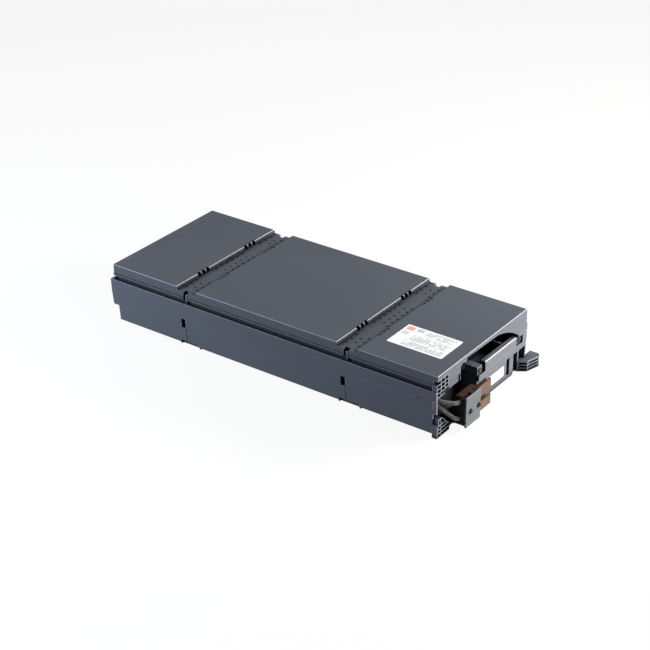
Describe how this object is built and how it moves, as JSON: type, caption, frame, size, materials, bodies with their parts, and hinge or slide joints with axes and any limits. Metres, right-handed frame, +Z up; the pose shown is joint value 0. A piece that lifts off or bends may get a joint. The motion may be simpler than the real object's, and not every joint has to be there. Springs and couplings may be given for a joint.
{
  "type": "ups battery cartridge",
  "caption": "Long flat battery cartridge for a rack-mounted power supply: moulded tray, vented lid, front pull handle, guide ears and a two-blade copper connector.",
  "frame": {"origin": "centre of the tray's underside", "axes": "+X across, right seen from the front; +Y from the connector end to the rear; +Z up"},
  "size_m": [0.2264, 0.5293, 0.0842],
  "materials": {
    "casing": "satin",
    "casing_lid": "satin",
    "casing_handle": "satin",
    "connector_black": "matte",
    "connector_grey": "satin",
    "screw_steel": "satin",
    "bolt_black": "satin",
    "copper": "satin",
    "tab_brass": "satin",
    "sleeve_nylon": "satin",
    "cable_jacket": "matte",
    "lead_jacket": "matte",
    "foam": "matte",
    "label": "satin",
    "block_case": "satin"
  },
  "bodies": {
    "root": {"tray": "casing", "front_frame": "casing", "bulkhead": "casing", "lid": "casing_lid", "handle": "casing_handle", "handle_screws": "screw_steel", "connector_housing": "connector_black", "connector_cover": "connector_grey", "connector_screws": "screw_steel", "busbar_upper": "copper", "busbar_lower": "copper", "foot_bolt": "bolt_black", "battery_block_1": "block_case", "battery_block_2": "block_case", "battery_block_3": "block_case", "battery_block_4": "block_case", "battery_block_5": "block_case", "battery_block_6": "block_case", "battery_block_7": "block_case", "battery_block_8": "block_case", "terminal_tabs": "tab_brass", "terminal_sleeves": "sleeve_nylon", "cable_positive": "cable_jacket", "cable_negative": "cable_jacket", "jumper_lead_1": "lead_jacket", "jumper_lead_2": "lead_jacket", "jumper_lead_3": "lead_jacket", "jumper_lead_4": "lead_jacket", "jumper_lead_5": "lead_jacket", "jumper_lead_6": "lead_jacket", "jumper_lead_7": "lead_jacket", "foam_pad_front": "foam", "foam_pad_middle": "foam", "foam_pad_rear": "foam", "lid_label": "label", "front_label": "label"}
  },
  "joints": []
}
